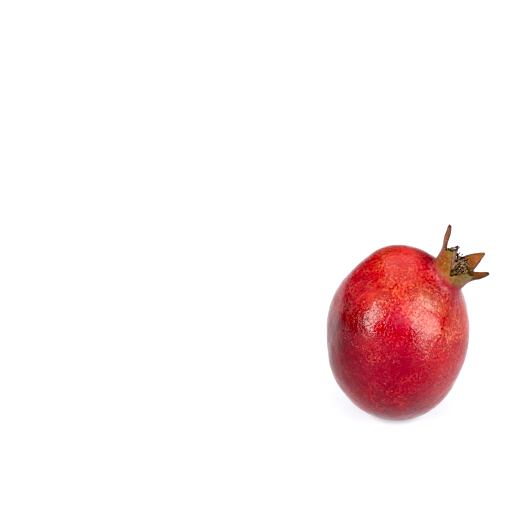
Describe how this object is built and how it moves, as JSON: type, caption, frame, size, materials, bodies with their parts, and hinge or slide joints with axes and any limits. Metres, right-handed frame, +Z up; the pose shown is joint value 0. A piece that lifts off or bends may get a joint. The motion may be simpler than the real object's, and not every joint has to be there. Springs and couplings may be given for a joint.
{
  "type": "pomegranate",
  "caption": "Whole ripe pomegranate standing tipped on a small flat spot, with a leathery ridged rind and an open sepal crown that holds dried stamens.",
  "frame": {"origin": "middle of the small flat spot that the fruit rests on, at the surface it stands on", "axes": "+Z up from the rest; the crown and stem scar lie on an axis tipped about 33 degrees from +Z towards +X and a little towards -Y; +Y is the far side"},
  "size_m": [0.0893, 0.0864, 0.1265],
  "materials": {
    "rind": "leathery fruit skin with a soft waxy shine; crimson with orange-red streaks and fine pale specks, drying to olive, brown and amber at the sepals and brown at the stem scar",
    "stamens": "matt dried filaments, pale straw to brown, with near-black anthers"
  },
  "bodies": {
    "root": {"pomegranate": "rind", "stamens": "stamens"}
  },
  "joints": []
}
